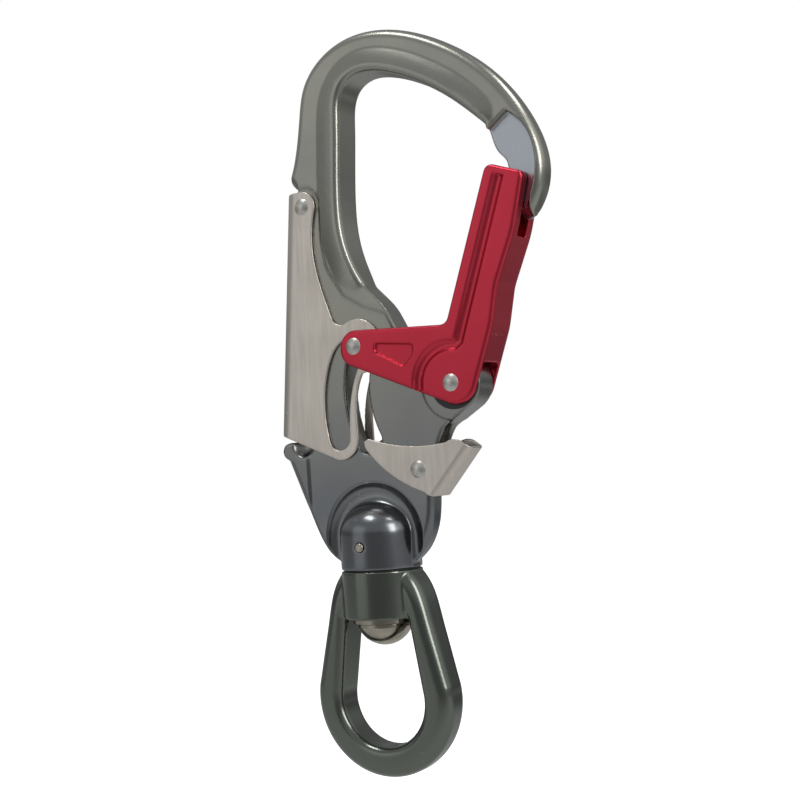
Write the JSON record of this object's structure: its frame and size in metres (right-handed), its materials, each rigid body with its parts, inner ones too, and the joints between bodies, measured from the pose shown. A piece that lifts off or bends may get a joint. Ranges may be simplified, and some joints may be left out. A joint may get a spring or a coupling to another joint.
{
  "type": "swivel safety hook",
  "caption": "Forged swivel safety hook: red inward gate, squeeze lever with curved slot, finger catch, and an eye on a swivel pin.",
  "frame": {"origin": "centre of the swivel eye's bow", "axes": "+Z along the swivel pin towards the hook, +X towards the gate, Y across the hook's flat faces"},
  "size_m": [0.1046, 0.0274, 0.2454],
  "materials": {
    "forged_aluminium": "forged, grey-green hard anodised, semi-gloss",
    "eye_aluminium": "forged, dark grey-green hard anodised, semi-gloss",
    "red_aluminium": "red anodised, satin",
    "folded_steel": "stainless sheet, fine brushed, warm grey",
    "rivet_steel": "stainless, tumbled",
    "pin_steel": "stainless, turned and polished",
    "spring_steel": "drawn spring wire",
    "bush_bronze": "sintered bronze",
    "shim_polymer": "dark acetal"
  },
  "bodies": {
    "hook": {"hook_body": "forged_aluminium", "gate_shim_front": "shim_polymer", "gate_shim_rear": "shim_polymer", "gate_spring": "spring_steel", "lever_bush": "bush_bronze", "lever_spring": "spring_steel", "catch_bush": "bush_bronze", "catch_spring": "spring_steel", "swivel_pin": "pin_steel", "cross_pin": "pin_steel", "thrust_washer": "pin_steel", "gap_washer": "shim_polymer"},
    "gate": {"gate": "red_aluminium", "gate_pivot_rivet": "rivet_steel", "link_rivet": "rivet_steel", "link_roller": "rivet_steel"},
    "lever": {"lever": "folded_steel", "lever_rivet": "rivet_steel"},
    "catch": {"catch": "folded_steel", "catch_rivet": "rivet_steel"},
    "eye": {"swivel_eye": "eye_aluminium", "collar_bush": "bush_bronze"}
  },
  "joints": [
    {"name": "gate_swing", "type": "hinge", "parent": "hook", "child": "gate", "pos_m": [0.0338, 0, 0.1004], "axis": [0, -1, 0], "range_deg": [0, 43], "deforming": ["gate_spring"]},
    {"name": "lever_squeeze", "type": "hinge", "parent": "hook", "child": "lever", "pos_m": [-0.0204, 0, 0.1648], "axis": [0, -1, 0], "range_deg": [0, 5.5], "deforming": ["lever_spring"]},
    {"name": "catch_release", "type": "hinge", "parent": "hook", "child": "catch", "pos_m": [0.019, 0, 0.0738], "axis": [0, -1, 0], "range_deg": [0, 28], "deforming": ["catch_spring"]},
    {"name": "eye_swivel", "type": "hinge", "parent": "hook", "child": "eye", "pos_m": [0, 0, 0.034], "axis": [0, 0, 1], "continuous": true}
  ],
  "couplings": [
    {"joint": "lever_squeeze", "follows": "gate_swing", "ratio": 0.1279},
    {"joint": "catch_release", "follows": "gate_swing", "ratio": 0.6511}
  ]
}
